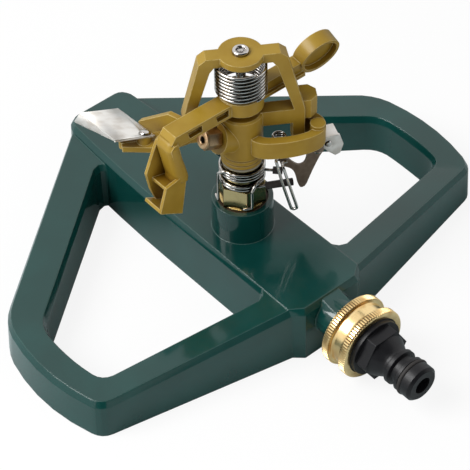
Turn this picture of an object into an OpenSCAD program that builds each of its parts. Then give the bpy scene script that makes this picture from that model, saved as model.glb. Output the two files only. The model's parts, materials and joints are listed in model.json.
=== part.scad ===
// Impulse sprinkler on a wide cast base: a spring-loaded hammer arm knocks the
// head round in small steps, and two wire collars set where it turns back.
// The riser stands on the Z axis of the base, the hose inlet points along +X,
// and the wings of the base reach out along +Y and -Y.

/* [Base casting] */
// Height of the flat top of the middle web
plateau_h = 28; // [22:0.5:34]
// Distance from the riser axis to the back end of the web
web_back = 100.5; // [85:0.5:120]
// Distance from the riser axis to the front end of the web
web_front = 54.5; // [48:0.5:66]
// Half width of the web at its back end
web_back_half = 15.5; // [12:0.5:20]
// Half width of the web beside the riser
web_mid_half = 19; // [17:0.5:24]
// Distance from the middle plane to the outer edge of a wing
wing_reach = 109.4; // [92:0.2:132]
// Length of a wing's outer edge
wing_chord = 62; // [48:1:76]
// Top height at the wing tips
tip_h = 19; // [14:0.5:24]
// Width of a back arm across its top
back_arm_w = 14.6; // [10:0.2:18]
// Width of a front arm across its top
front_arm_w = 11; // [8:0.2:14]
// Wall thickness of the hollow casting
cast_wall = 3; // [2:0.1:4.5]
// How far the walls lean out between top edge and floor
draft_out = 2.4; // [1:0.1:4]

/* [Riser] */
// Outer radius of the riser boss at its top
boss_r = 13.1; // [12.4:0.1:16]
// Height of the riser boss above the web
boss_rise = 16.4; // [10:0.2:26]
// Radius of the threaded tail of the bearing nipple
riser_thread_r = 9.6; // [9:0.05:10.3]
// Width across the flats of the bearing nipple
hex_flats = 18; // [17.6:0.1:19]
// Height of the bearing nipple's hexagon
hex_h = 11; // [8:0.2:14]

/* [Inlet] */
// Height of the inlet axis above the floor
inlet_h = 17; // [16.8:0.1:20]
// Outer radius of the knurled rims of the brass coupling
coupling_r = 16.4; // [15:0.1:16.7]
// Length of the brass coupling
coupling_len = 14; // [12:0.2:18]
// Outer radius of the hose connector's plug
plug_r = 8.1; // [7.6:0.05:8.6]
// Length of the hose connector in front of the coupling
plug_len = 29; // [24:0.5:36]

/* [Head] */
// Outer radius of the head's barrel
barrel_r = 8.9; // [8:0.1:10]
// Height of the barrel from its lower rim to its deck
barrel_h = 26; // [22:0.5:32]
// Direction of the nozzle about the riser
nozzle_turn = -97; // [-105:1:-93]
// Upward slant of the nozzle
nozzle_rise = 20; // [12:1:27]
// Radius of the jet hole
jet_r = 1.5; // [1:0.1:2]
// Direction of the bridge over the arm
bridge_turn = 57; // [52:1:62]
// Half span of the bridge at its feet
bridge_foot = 25; // [22:0.5:28]
// Half span of the bridge at its top corners
bridge_top = 17.4; // [14:0.2:20]
// Height of the bridge from deck to its top face
bridge_h = 30.8; // [27:0.2:36]
// Radius of the round plate on top of the bridge
crown_r = 9.2; // [8:0.1:11]

/* [Hammer arm] */
// Direction of the hammer arm at rest
arm_turn = -91; // [-93:1:-84]
// Radius of the arm's hub
hub_r = 9.3; // [8:0.1:10.5]
// Thickness of the arm's hub
hub_h = 6.6; // [5:0.1:8]
// Width of the front arm
arm_w = 8.2; // [6:0.1:9]
// Distance from the riser to the spoon's upper edge
spoon_reach = 40; // [37:0.5:46]
// Radius of the counterweight
weight_r = 9.5; // [8:0.1:11]
// Distance from the riser to the counterweight's middle
weight_reach = 39; // [37:0.5:46]
// Mean radius of the arm spring
arm_spring_r = 10.1; // [8:0.1:10.6]
// Number of turns of the arm spring
arm_spring_turns = 8; // [5:1:10]
// Wire diameter of the springs and wire parts
wire_d = 1.3; // [1:0.1:1.5]

/* [Trip gear] */
// Distance of the trip lever's pin from the riser
trip_reach = 31.2; // [30:0.2:33]
// Direction of the trip lever's pin about the riser
trip_turn = 49; // [46:1:52]
// Thickness of the trip loop's wall
loop_wall = 3.5; // [3:0.1:4]
// Height of the loop's wall
loop_h = 8.5; // [6:0.1:8.5]
// Length of a collar's stop arm
stop_len = 14; // [11:0.5:15]

/* [Deflector] */
// Length of the deflector plate
flap_len = 33.5; // [26:0.5:38]
// Width of the deflector plate
flap_w = 17.8; // [14:0.2:20]
// Thickness of the deflector plate
flap_t = 0.9; // [0.6:0.1:1.5]

/* [Hidden] */

// Fits between pieces
screw_gap = 0.05;
turn_gap = 0.06;
face_gap = 0.1;
free_gap = 0.3;

// Base casting: the top edge is a chamfer, the walls lean out below it
chamfer_w = 1.6;
chamfer_h = 3;
back_corner_r = 5;
swell_x = -25;
post_r = 12;
duct_r = 6;
duct_wall = 2.4;

// Wing corners, on the side of +Y, as outer and inner edge points of the top
tip_mid_x = 1.5;
tip_bow = 5;
arm_root_drop = 3.6;
wing_back_x = tip_mid_x - wing_chord / 2;
wing_front_x = tip_mid_x + wing_chord / 2;
wing_side = wing_reach - tip_bow;
edge_back = [5.5 - web_back, web_back_half + 3];
edge_front = [web_front - 4, web_mid_half + 1.5];
tip_back = [wing_back_x, wing_side];
tip_front = [wing_front_x, wing_side];
tip_band = 11;
root_back_y = web_back_half - 1.5;
root_front_y = web_mid_half - 2.5;
root_flare = 6;
outer_bend = [9, 5];
inner_bend = [6.5, 5];

// Riser, from the casting upwards
boss_top = plateau_h + boss_rise;
recess_depth = 2;
washer_t = 1;
seat_z = boss_top - recess_depth;
hex_z = seat_z + washer_t;
hex_top = hex_z + hex_h;
hex_corner_r = hex_flats / 2 / cos(30);
tail_len = 9.4;
sleeve_r = 8.4;
sleeve_h = 11.2;
sleeve_top = hex_top + sleeve_h;
stem_r = 5.2;
stem_bore_r = 3.7;
foot_z = hex_z - tail_len + face_gap;
foot_flange_r = 7.4;
foot_flange_h = 1.6;
seal_t = 1.6;
tail_cavity_r = 8;
spring_pocket_r = 7.7;
spring_pocket_h = 9.4;

// Head, from the thrust washer upwards
barrel_z = sleeve_top + face_gap + washer_t;
deck_z = barrel_z + barrel_h;
neck_r = 4.6;
neck_h = 3;
arm_washer_t = 0.7;
hub_z = deck_z + neck_h + arm_washer_t + face_gap;
hub_top = hub_z + hub_h;
bridge_top_z = deck_z + bridge_h;
crown_t = 2.8;
crown_z = bridge_top_z - crown_t;
pin_r = 2;
bush_r = 3.2;
pin_seat_z = deck_z - 6;
stem_top = deck_z - 15.1;
bridge_t = 4.4;
bridge_depth = 6.4;
spar_h = 7.4;
foot_block_r = 5.4;
foot_block_h = 9.5;
bridge_shift = 0.7;
rail_w = 4;
rail_h = 3.6;
rail_z = deck_z - 13.2;
rail_start = [-26.3, -40.9];
rail_run = [6.6, 11.4];
fin_start = [-14.4, -22.4];
fin_turn = 193.4;
fin_t = 2.4;
pin_head_r = 3.4;
pin_head_h = 1.6;
weight_t = 6.4;
weight_front = 4.9;
weight_dish = 2.6;
weight_rim = 1.4;
weight_rise = 7.2;
weight_turn = 4;
weight_tilt = 17;

// Nozzle, measured along its own slanted axis from the riser axis
nozzle_root_z = deck_z - 13.6;
nozzle_socket_r = 6.8;
nozzle_socket_len = 12.9;
nozzle_thread_r = 3.2;
nozzle_hex_flats = 8;
nozzle_len = 7.4;

// Loop that carries the trip lever
loop_z = deck_z - 17.6;
trip_pin_r = 1.5;
trip_pin_top = loop_z + loop_h;
trip_boss_r = 3.2;
knuckle_r = 2.7;
knuckle_top = loop_z - free_gap;
knuckle_h = 4;
knuckle_z = knuckle_top - knuckle_h;
clip_t = 0.8;
clip_z = knuckle_z - free_gap - clip_t;
trip_pin_z = clip_z - 1;
trip_lean = trip_turn + 18;
sheet_t = 1.2;
sheet_y = 2.8;
shoe_t = 1;
shoe_top = -0.4;
rivet_r = 0.9;
trip_wire_d = 0.9;
rivet_at = [5.2, -4.2];

// Deflector plate: two directions in its plane and the one across it
flap_dir = 169.9;
flap_drop = 17.3;
flap_roll = 15.4;
flap_corner = [-17.6, -31.4, deck_z - 6.8];
flap_inset = 3;
flap_lip = 4.6;
flap_fold = 51;
flap_pin_r = 1.4;
tongue_t = 2.8;
tongue_z = deck_z - 12.6;

// Collars
coil_r = sleeve_r + free_gap / 2 + wire_d / 2;
coil_pitch = wire_d + 0.15;
leg_r = hex_corner_r + free_gap + wire_d / 2;
leg_z = boss_top + 1.6 + wire_d / 2;
lower_z = hex_top + 0.5 + wire_d / 2;
upper_z = lower_z + 2 * coil_pitch + wire_d + 0.9;
sleeve_d = 3.2;
sleeve_from = 3.8;

// Each collar: where its coil ends, arm direction, arm length, where its leg starts
upper_stop = [38, 43, stop_len - 6.2, -84];
lower_stop = [0, 60.6, stop_len + 1.4, 0];

// Inlet coupling, along the inlet axis
neck_end_r = 9.3;
coupling_x = web_front + 12.6;
lip_len = 2.6;
flange_r = 11.6;
flange_len = 2.2;
hose_thread_r = 13.1;
washer_len = 2;
ring_x = coupling_x + lip_len + face_gap;
connector_x = ring_x + flange_len + face_gap + washer_len;
coupling_end = coupling_x + coupling_len;
plug_end = coupling_end + plug_len;

// The riser axis lies behind the middle of the whole length
riser_x = (web_back + draft_out - plug_end) / 2;

// Helpers

module at_riser() {
    translate([riser_x, 0, 0])
        children();
}

module along_inlet(x) {
    translate([x, 0, inlet_h])
        rotate([0, 90, 0])
            children();
}

module ring(r_out, r_in, h) {
    difference() {
        cylinder(r = r_out, h = h, $fn = 96);
        translate([0, 0, -1])
            cylinder(r = r_in, h = h + 2, $fn = 96);
    }
}

module hexagon(flats, h) {
    rotate([0, 0, 30])
        cylinder(r = flats / 2 / cos(30), h = h, $fn = 6);
}

function unit(v) = v / norm(v);
function polar(r, a, z) = [r * cos(a), r * sin(a), z];

// Direction of a path at each of its points
function tangents(p) = [for (i = [0 : len(p) - 1])
    unit(p[min(i + 1, len(p) - 1)] - p[max(i - 1, 0)])];

// One vector across the path at each point, carried along without twist
function across(t) = [
    for (i = 0, n = unit(cross(t[0], abs(t[0].z) < 0.9 ? [0, 0, 1] : [1, 0, 0]));
        i < len(t);
        i = i + 1, n = i < len(t) ? unit(n - (n * t[i]) * t[i]) : n)
    n];

// An outline with every corner cut off at a quarter of its edges
function soften(p) = [for (i = [0 : len(p) - 1])
    let (q = p[(i + 1) % len(p)])
    each [0.75 * p[i] + 0.25 * q, 0.25 * p[i] + 0.75 * q]];

// A closed skin over rows of points, each row a closed loop of the same count,
// with the same faces closing both ends
module loft(points, n, rows, cap) {
    walls = [for (i = [0 : rows - 2], k = [0 : n - 1])
        let (a = i * n + k, b = i * n + (k + 1) % n)
        each [[a, a + n, b + n], [a, b + n, b]]];
    last = [for (f = cap) [for (k = [len(f) - 1 : -1 : 0]) (rows - 1) * n + f[k]]];
    polyhedron(points, concat(cap, walls, last));
}

// A round wire of few sides along a path
module wire(p, d, sides = 6) {
    t = tangents(p);
    n = across(t);
    rings = len(p);
    points = [for (i = [0 : rings - 1], k = [0 : sides - 1])
        p[i] + d / 2 * (cos(360 * k / sides) * n[i] + sin(360 * k / sides) * cross(t[i], n[i]))];
    loft(points, sides, rings, [[for (k = [0 : sides - 1]) k]]);
}

// Points of a helix about the riser axis, from angle a0 to a1
function helix(r, a0, a1, z0, z1, steps) = [for (i = [0 : steps])
    polar(r, a0 + (a1 - a0) * i / steps, z0 + (z1 - z0) * i / steps)];

// Base casting

// Half width of the web at a distance along the inlet axis
function web_half(x) = x > swell_x ? web_mid_half
    : web_mid_half - (web_mid_half - web_back_half) * pow((swell_x - x) / (swell_x + web_back), 2);

// Outline of the web, moved out by a distance
module web_outline(out) {
    side = [for (i = [0 : 8])
        let (x = back_corner_r - web_back + (web_front - 9 - back_corner_r + web_back) * i / 8)
        [x, web_half(x) + out]];
    corner = [for (a = [180 : -22.5 : 112.5])
        [back_corner_r - web_back, web_back_half - back_corner_r]
            + (back_corner_r + out) * [cos(a), sin(a)]];
    nose = [[edge_front.x + out, edge_front.y - 1], [web_front + out, 14 + out * 0.5]];
    half = concat(corner, side, nose);
    polygon(concat(half, [for (i = [len(half) - 1 : -1 : 0]) [half[i].x, -half[i].y]]));
}

module web_slab(z, out) {
    translate([0, 0, z])
        linear_extrude(0.01)
            web_outline(out);
}

module web_shell() {
    hull() {
        web_slab(0, draft_out);
        web_slab(plateau_h - chamfer_h, chamfer_w);
        web_slab(plateau_h - 0.01, 0);
    }
}

module web_cavity() {
    hull() {
        web_slab(-1, draft_out - cast_wall);
        web_slab(plateau_h - cast_wall, chamfer_w - cast_wall - 0.6);
    }
}

// Where a wing's edge lines run, as far as the arc of the tip
function line_x(p, q, y) = p.x + (q.x - p.x) * (y - p.y) / (q.y - p.y);
function chord_y(x) = wing_reach - tip_bow * pow((x - tip_mid_x) / (wing_chord / 2), 2);
function arm_inset(p, q, w) = w * norm(q - p) / (q.y - p.y);
function back_in_x(y) = line_x(edge_back, tip_back, y) + arm_inset(edge_back, tip_back, back_arm_w);
function front_in_x(y) = line_x(edge_front, tip_front, y)
    - arm_inset(edge_front, tip_front, front_arm_w);
function inner_y(x) = chord_y(x) - tip_band;
back_in = back_in_x(inner_y(back_in_x(wing_side - tip_band)));
front_in = front_in_x(inner_y(front_in_x(wing_side - tip_band)));

// One section of a wing: a channel open below, from the outer to the inner edge
function wing_section(o, i, z) = let (d = unit(o - i), w = cast_wall) [
    concat(o + draft_out * d, 0),
    concat(o + chamfer_w * d, z - chamfer_h),
    concat(o, z),
    concat(i, z),
    concat(i - chamfer_w * d, z - chamfer_h),
    concat(i - draft_out * d, 0),
    concat(i + (w - draft_out) * d, 0),
    concat(i + (w - chamfer_w) * d, z - w),
    concat(o - (w - chamfer_w) * d, z - w),
    concat(o - (w - draft_out) * d, 0)];

// Points of a curve that leaves a, bends at a corner and ends at b
function round_corner(a, corner, b) = [for (t = [0 : 0.25 : 1])
    (1 - t) * (1 - t) * a + 2 * t * (1 - t) * corner + t * t * b];

// An edge round the tip, a band inside the outer one, with its two bends
function tip_point(x, band) = [x, chord_y(x) - band];
function tip_edge(back, front, band, bend) = concat(
    round_corner(back + bend[0] * unit(edge_back - tip_back), back,
        tip_point(back.x + bend[0], band)),
    [for (t = [0.2 : 0.2 : 0.8])
        tip_point(back.x + bend[0] + (front.x - back.x - bend[0] - bend[1]) * t, band)],
    round_corner(tip_point(front.x - bend[1], band), front,
        front + bend[1] * unit(edge_front - tip_front)));

// How far an arm's inner edge swings out to meet the web in a fillet
function flare(y) = root_flare * pow(max(0, 1 - max(0, y - web_mid_half) / root_flare), 2);
function arm_top(y, from, z) = z + (tip_h - z) * (y - from) / (wing_side - from);
function back_root(y) = wing_section([line_x(edge_back, tip_back, y), y],
    [back_in_x(y) + flare(y), y], arm_top(y, root_back_y, plateau_h - arm_root_drop));
function front_root(y) = wing_section([line_x(edge_front, tip_front, y), y],
    [front_in_x(y) - flare(y), y], arm_top(y, root_front_y, plateau_h));

module wing() {
    outer = tip_edge(tip_back, tip_front, 0, outer_bend);
    inner = tip_edge([back_in, inner_y(back_in)], [front_in, inner_y(front_in)], tip_band,
        inner_bend);
    flare_y = [for (t = [0.03, 0.2, 0.45, 1]) web_mid_half + t * root_flare];
    sections = concat(
        [back_root(root_back_y)],
        [for (y = flare_y) back_root(y)],
        [for (i = [0 : len(outer) - 1]) wing_section(outer[i], inner[i], tip_h)],
        [for (k = [3 : -1 : 0]) front_root(flare_y[k])],
        [front_root(root_front_y)]);
    loft([for (s = sections, p = s) p], len(sections[0]), len(sections),
        [[0, 1, 8], [0, 8, 9], [1, 2, 8], [2, 3, 7], [2, 7, 8], [3, 4, 7], [4, 5, 6], [4, 6, 7]]);
}

// Neck in front of the web, from its block down to the round spigot
module inlet_neck() {
    hull() {
        translate([web_front - 2, -4.6, inlet_h - 9])
            cube([0.1, 9.2, plateau_h - inlet_h + 8.6]);
        along_inlet(coupling_x - 2.6)
            rotate([0, 0, 30])
                cylinder(r = 9.2, h = 0.1, $fn = 6);
        translate([web_front - 2, -9, inlet_h - 4])
            cube([0.1, 18, 8]);
    }
}

module base_frame() {
    at_riser()
        color("darkslategray")
            difference() {
                union() {
                    difference() {
                        union() {
                            web_shell();
                            wing();
                            mirror([0, 1, 0])
                                wing();
                        }
                        web_cavity();
                    }
                    inlet_neck();
                    along_inlet(web_front)
                        cylinder(r = neck_end_r, h = ring_x + flange_len - web_front, $fn = 96);
                    along_inlet(0)
                        cylinder(r = duct_r + duct_wall, h = web_front, $fn = 64);
                    translate([0, 0, inlet_h - duct_r - duct_wall])
                        cylinder(r = post_r, h = plateau_h - inlet_h + duct_r, $fn = 96);
                    translate([0, 0, plateau_h - 1])
                        cylinder(r1 = boss_r + 0.3, r2 = boss_r, h = boss_rise + 1, $fn = 96);
                }
                along_inlet(0)
                    cylinder(r = duct_r, h = coupling_x + 10, $fn = 64);
                translate([0, 0, inlet_h])
                    cylinder(r = duct_r, h = boss_rise, $fn = 64);
                translate([0, 0, hex_z - tail_len - 1])
                    cylinder(r = riser_thread_r + screw_gap, h = boss_top, $fn = 96);
                translate([0, 0, seat_z])
                    cylinder(r = hex_corner_r + 0.6, h = boss_top, $fn = 96);
            }
}

// Riser

module bearing_nipple() {
    at_riser()
        color("goldenrod")
            difference() {
                union() {
                    translate([0, 0, hex_z - tail_len])
                        cylinder(r = riser_thread_r, h = tail_len + 1, $fn = 96);
                    translate([0, 0, hex_z])
                        hexagon(hex_flats, hex_h);
                    translate([0, 0, hex_z])
                        cylinder(r = sleeve_r, h = hex_h + sleeve_h, $fn = 96);
                }
                translate([0, 0, hex_z - tail_len - 1])
                    cylinder(r = stem_r + turn_gap, h = boss_top, $fn = 96);
                translate([0, 0, hex_z - tail_len - 1])
                    cylinder(r = tail_cavity_r, h = 1 + foot_flange_h + seal_t + 2 * face_gap,
                        $fn = 96);
                translate([0, 0, sleeve_top - spring_pocket_h])
                    cylinder(r = spring_pocket_r, h = spring_pocket_h + 1, $fn = 96);
            }
}

module nipple_washer() {
    at_riser()
        color("firebrick")
            translate([0, 0, seat_z])
                ring(hex_corner_r + 0.3, riser_thread_r + screw_gap, washer_t);
}

// A collar: two turns of wire round the sleeve, a stop arm and a hanging leg
module collar(z, coil_end, arm_dir, arm_len, leg_at) {
    turns = 2;
    a0 = coil_end;
    a1 = leg_at - 360 * turns;
    top = z + (a0 - a1) / 360 * coil_pitch;
    arm = [for (t = [1, 0.66, 0.33, 0.12])
        polar(coil_r, a0, z) + t * arm_len * polar(1, arm_dir, 0)];
    leg = [
        polar(coil_r + 1, a1 - 9, top - 0.2),
        polar(leg_r - 0.2, a1 - 17, top - 1.6),
        polar(leg_r, a1 - 20, top - 3.4),
        polar(leg_r, a1 - 20, leg_z + 1.2),
        polar(leg_r, a1 - 23, leg_z + 0.2),
        polar(leg_r, a1 - 40, leg_z)];
    wire(concat(arm, helix(coil_r, a0, a1, z, top, ceil((a0 - a1) / 18)), leg), wire_d);
}

module stop_sleeve(z, coil_end, arm_dir, arm_len) {
    translate(polar(coil_r, coil_end, z) + sleeve_from * polar(1, arm_dir, 0))
        rotate([0, 90, arm_dir])
            ring(sleeve_d / 2, wire_d / 2 + screw_gap, arm_len - sleeve_from);
}

module collar_upper() {
    at_riser()
        color("silver")
            collar(upper_z, upper_stop[0], upper_stop[1], upper_stop[2], upper_stop[3]);
}

module collar_lower() {
    at_riser()
        color("silver")
            collar(lower_z, lower_stop[0], lower_stop[1], lower_stop[2], lower_stop[3]);
}

module stop_sleeve_upper() {
    at_riser()
        color("dimgray")
            stop_sleeve(upper_z, upper_stop[0], upper_stop[1], upper_stop[2]);
}

module stop_sleeve_lower() {
    at_riser()
        color("dimgray")
            stop_sleeve(lower_z, lower_stop[0], lower_stop[1], lower_stop[2]);
}

// Inlet

module inlet_coupling() {
    at_riser()
        color("gold")
            along_inlet(coupling_x)
                rotate_extrude($fn = 96)
                    polygon([[neck_end_r + turn_gap, 0], [coupling_r - 0.8, 0], [coupling_r, 0.8],
                        [coupling_r, 3.8], [coupling_r - 2.2, 4.8],
                        [coupling_r - 2.2, coupling_len - 4.8], [coupling_r, coupling_len - 3.8],
                        [coupling_r, coupling_len - 0.8], [coupling_r - 0.8, coupling_len],
                        [hose_thread_r + screw_gap, coupling_len],
                        [hose_thread_r + screw_gap, lip_len], [neck_end_r + turn_gap, lip_len]]);
}

module swivel_ring() {
    at_riser()
        color("gold")
            along_inlet(ring_x)
                ring(flange_r, neck_end_r + screw_gap, flange_len);
}

module coupling_washer() {
    at_riser()
        color("black")
            along_inlet(connector_x - washer_len)
                ring(hose_thread_r - 0.3, duct_r + 0.5, washer_len);
}

module hose_connector() {
    neck_x = coupling_end - connector_x;
    at_riser()
        color("black")
            along_inlet(connector_x)
                difference() {
                    union() {
                        cylinder(r = hose_thread_r, h = neck_x + 0.2, $fn = 96);
                        translate([0, 0, neck_x + face_gap])
                            cylinder(r = coupling_r - 3.6, h = 2, $fn = 96);
                        translate([0, 0, neck_x + 2])
                            hexagon(20.5, 5.5);
                        translate([0, 0, neck_x])
                            rotate_extrude($fn = 96)
                                polygon([[0, 7], [10.2, 7], [7.6, 11.5], [7, 13], [7, 14], [plug_r, 14.6],
                                    [plug_r, 16.4], [6.4, 17], [6.4, 19.6], [plug_r, 20.2],
                                    [plug_r, 21.8], [plug_r - 1.4, 21.8], [plug_r - 1.4, 23.8],
                                    [plug_r, 23.8], [plug_r, plug_len - 1.2],
                                    [plug_r - 1.2, plug_len], [0, plug_len]]);
                    }
                    translate([0, 0, -1])
                        cylinder(r = 3.9, h = neck_x + plug_len + 2, $fn = 64);
                }
}

module connector_o_ring() {
    at_riser()
        color("dimgray")
            along_inlet(coupling_end + 22.8)
                rotate_extrude($fn = 96)
                    translate([plug_r - 0.45, 0])
                        circle(r = 0.9, $fn = 24);
}

// Head

module along_nozzle(s) {
    translate([0, 0, nozzle_root_z])
        rotate([0, 90 - nozzle_rise, nozzle_turn])
            translate([0, 0, s])
                children();
}

// Turns an outline drawn in the bridge's plane upright about the riser
module upright(turn, y0, y1) {
    rotate([0, 0, turn])
        translate([0, y1, 0])
            rotate([90, 0, 0])
                linear_extrude(y1 - y0)
                    children();
}

module barrel() {
    rotate_extrude($fn = 96)
        polygon([[0, barrel_z], [barrel_r - 0.5, barrel_z], [barrel_r, barrel_z + 0.5],
            [barrel_r, barrel_z + 2], [barrel_r - 0.5, barrel_z + 2.3],
            [barrel_r, barrel_z + 2.6], [barrel_r, barrel_z + 4.4],
            [barrel_r - 0.5, barrel_z + 4.7], [barrel_r, barrel_z + 5],
            [barrel_r, deck_z - 0.8], [barrel_r - 0.8, deck_z], [neck_r, deck_z],
            [neck_r, deck_z + neck_h], [0, deck_z + neck_h]]);
}

// Bridge: two legs, a top bar and the spars that tie the feet to the barrel
module bridge() {
    foot_in = bridge_foot - 6;
    top_in = bridge_top - bridge_t;
    cut = 2.4;
    upright(bridge_turn, -bridge_depth / 2, bridge_depth / 2)
        translate([bridge_shift, 0])
            difference() {
                polygon([[-bridge_foot, tongue_z], [-foot_in, tongue_z],
                    [-foot_in, deck_z - spar_h], [foot_in + 1, deck_z - spar_h],
                    [foot_in + 1, loop_z], [bridge_foot, loop_z], [bridge_foot, deck_z],
                    [bridge_top + cut / 4, bridge_top_z - cut], [bridge_top - cut, bridge_top_z],
                    [cut - bridge_top, bridge_top_z], [-bridge_top - cut / 4, bridge_top_z - cut],
                    [-bridge_foot, deck_z]]);
                polygon([[bridge_foot - bridge_t, deck_z],
                    [top_in + cut / 4, bridge_top_z - bridge_t - cut],
                    [top_in - cut / 2, bridge_top_z - bridge_t],
                    [cut / 2 - top_in, bridge_top_z - bridge_t],
                    [-top_in - cut / 4, bridge_top_z - bridge_t - cut],
                    [bridge_t - bridge_foot, deck_z]]);
            }
    translate([0, 0, crown_z])
        cylinder(r = crown_r, h = crown_t, $fn = 96);
    translate(polar(bridge_foot + 1.4, bridge_turn + 5.5, deck_z - 6.1))
        rotate([0, 0, bridge_turn + 22.5])
            cylinder(r = foot_block_r, h = foot_block_h, $fn = 8);
}

// Loop under the foot block: a curved wall from the barrel round the trip lever's pin
module trip_loop() {
    e = trip_reach;
    w = loop_wall;
    rotate([0, 0, trip_turn])
        translate([0, 0, loop_z]) {
            linear_extrude(loop_h)
                polygon(soften(soften([[3, -8], [e * 0.25, -7.6 - w], [e / 2, -7.3 - w],
                    [e * 0.71, -6.1 - w], [e - 3, -3.9 - w], [e + 1.6, -4.6], [e + 3.7, -0.4],
                    [e + 2.8, 4.6], [e - 0.6, 8.2], [e - 5, 12], [e - 9, 12], [e - 10.5, 8.6],
                    [e - 3.7, 4.7], [e - 1.6, 1.2], [e - 2, -2], [e - 5, -4.2], [e * 0.67, -6],
                    [e * 0.48, -6.9], [e * 0.31, -7.1], [6, -5.2]])));
            translate([e, 0, 0])
                cylinder(r = trip_boss_r, h = loop_h + 1.6, $fn = 48);
        }
}

// Places things on the deflector plate's own corner and slant
module at_flap() {
    translate(flap_corner)
        rotate([flap_roll, flap_drop, flap_dir])
            children();
}

module deflector_tongue() {
    translate([0, 0, tongue_z])
        linear_extrude(tongue_t)
            polygon([[-16.3, -19.3], [-9, -20], [-11.5, -31], [-13.5, -33.5], [-23.4, -43.8],
                [-27.6, -41.6], [-25.5, -34]]);
    translate(concat(rail_start, rail_z))
        rotate([0, 0, atan2(rail_run.y, rail_run.x)]) {
            cylinder(r = rail_w / 2, h = rail_h, $fn = 48);
            translate([norm(rail_run), 0, 0])
                cylinder(r = rail_w / 2, h = rail_h, $fn = 48);
            translate([0, 0.1 - rail_w / 2, 0])
                cube([norm(rail_run), rail_w - 0.2, rail_h]);
        }
    at_flap()
        translate([flap_inset, flap_inset, -flap_t - face_gap - 3.6])
            cylinder(r = flap_inset, h = 3.6, $fn = 48);
    translate(fin_start)
        upright(fin_turn, -fin_t / 2, fin_t / 2)
            polygon([[-3, tongue_z], [-3, deck_z + 0.4], [3.5, deck_z + 0.4],
                [19, deck_z - 11.6], [19, deck_z - 15], [16, deck_z - 15]]);
}

module head_body() {
    at_riser()
        color("darkkhaki")
            difference() {
                union() {
                    difference() {
                        trip_loop();
                        translate([0, 0, loop_z - 1])
                            cylinder(r = barrel_r - 1, h = loop_h + 2, $fn = 96);
                    }
                    barrel();
                    bridge();
                    deflector_tongue();
                    along_nozzle(0)
                        cylinder(r = nozzle_socket_r, h = nozzle_socket_len, $fn = 64);
                }
                translate([0, 0, barrel_z - 1])
                    cylinder(r = stem_r + screw_gap, h = stem_top - barrel_z + 1 + face_gap,
                        $fn = 96);
                translate([0, 0, barrel_z])
                    cylinder(r = stem_bore_r, h = nozzle_root_z + 3.6 - barrel_z, $fn = 64);
                translate([0, 0, pin_seat_z])
                    cylinder(r = pin_r + screw_gap, h = bridge_h + 10, $fn = 48);
                translate(polar(trip_reach, trip_turn, loop_z - 1))
                    cylinder(r = trip_pin_r + screw_gap, h = trip_pin_top - loop_z + 1 + face_gap,
                        $fn = 48);
                along_nozzle(0)
                    cylinder(r = 2.6, h = nozzle_socket_len, $fn = 48);
                along_nozzle(nozzle_socket_len - 5.2)
                    cylinder(r = nozzle_thread_r + screw_gap, h = 6, $fn = 48);
                along_nozzle(nozzle_socket_len)
                    cylinder(r = nozzle_hex_flats / 2 / cos(30) + free_gap, h = nozzle_len + 2,
                        $fn = 64);
                at_flap()
                    translate([flap_inset, flap_inset, -flap_t - face_gap - 4])
                        cylinder(r = flap_pin_r + screw_gap, h = 5, $fn = 48);
            }
}

module stem_tube() {
    at_riser()
        color("goldenrod")
            difference() {
                union() {
                    translate([0, 0, foot_z])
                        cylinder(r = stem_r, h = stem_top - foot_z, $fn = 96);
                    translate([0, 0, foot_z])
                        cylinder(r = foot_flange_r, h = foot_flange_h, $fn = 96);
                }
                translate([0, 0, foot_z - 1])
                    cylinder(r = stem_bore_r, h = stem_top, $fn = 64);
            }
}

module stem_seal() {
    at_riser()
        color("black")
            translate([0, 0, foot_z + foot_flange_h])
                ring(foot_flange_r, stem_r + screw_gap, seal_t);
}

module thrust_washer() {
    at_riser()
        color("ivory")
            translate([0, 0, sleeve_top + face_gap])
                ring(sleeve_r + 0.2, stem_r + screw_gap, washer_t);
}

module bearing_spring() {
    z0 = sleeve_top - spring_pocket_h + wire_d / 2 + face_gap;
    z1 = sleeve_top - wire_d / 2;
    at_riser()
        color("silver")
            wire(helix((spring_pocket_r + stem_r) / 2, 0, 1620, z0, z1, 90), wire_d - 0.1);
}

module main_nozzle() {
    at_riser()
        color("rosybrown")
            along_nozzle(nozzle_socket_len + face_gap)
                difference() {
                    union() {
                        hexagon(nozzle_hex_flats, nozzle_len - 0.6);
                        cylinder(r = nozzle_hex_flats / 2 - 0.2, h = nozzle_len, $fn = 64);
                        translate([0, 0, -5])
                            cylinder(r = nozzle_thread_r, h = 5.4, $fn = 48);
                    }
                    translate([0, 0, -6])
                        cylinder(r = jet_r, h = nozzle_len + 8, $fn = 48);
                    translate([0, 0, -5.1])
                        cylinder(r1 = nozzle_thread_r - 0.8, r2 = jet_r, h = 6, $fn = 48);
                }
}

module fulcrum_pin() {
    at_riser()
        color("silver")
            rotate_extrude($fn = 64)
                polygon(concat([[0, pin_seat_z + face_gap], [pin_r, pin_seat_z + face_gap],
                    [pin_r, bridge_top_z + face_gap], [pin_head_r, bridge_top_z + face_gap]],
                    [for (a = [0 : 15 : 90])
                        [pin_head_r * cos(a), bridge_top_z + 0.5 + (pin_head_h - 0.5) * sin(a)]]));
}

// Hammer arm

module arm_spring() {
    z0 = hub_top + wire_d / 2 + 0.2;
    z1 = bridge_top_z - bridge_t - wire_d / 2 - 0.2;
    a0 = bridge_turn - 60;
    at_riser()
        color("silver")
            wire(helix(arm_spring_r, a0, a0 + 360 * arm_spring_turns, z0, z1,
                18 * arm_spring_turns), wire_d);
}

module arm_washer() {
    at_riser()
        color("ivory")
            translate([0, 0, deck_z + neck_h])
                ring(neck_r, pin_r + screw_gap, arm_washer_t);
}

module arm_bush() {
    at_riser()
        color("goldenrod")
            translate([0, 0, hub_z])
                ring(bush_r, pin_r + turn_gap, hub_h);
}

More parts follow.
